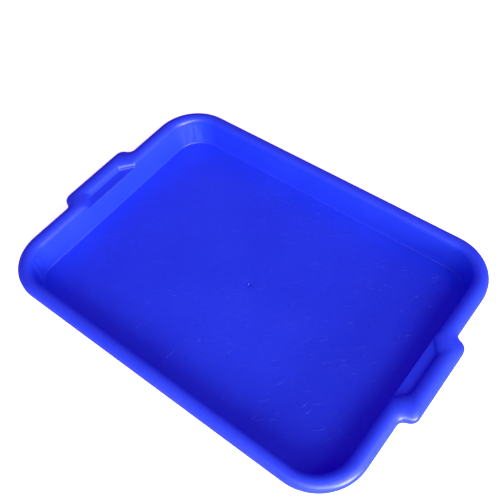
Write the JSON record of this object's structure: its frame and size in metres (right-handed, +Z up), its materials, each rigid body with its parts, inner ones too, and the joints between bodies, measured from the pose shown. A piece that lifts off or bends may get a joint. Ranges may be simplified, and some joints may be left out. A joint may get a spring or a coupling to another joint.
{
  "type": "serving tray",
  "caption": "Rectangular moulded plastic serving tray with steep drafted walls, a rolled rim and an integral grip handle at each end.",
  "frame": {"origin": "centre of the footprint, on the table plane that the foot ring rests on", "axes": "+X along the tray from handle to handle, +Y across it, +Z up out of the basin"},
  "size_m": [0.45, 0.31, 0.0409],
  "materials": {
    "blue_plastic": "glossy royal blue, lightly polished polypropylene moulding"
  },
  "bodies": {
    "root": {"tray": "blue_plastic"}
  },
  "joints": []
}
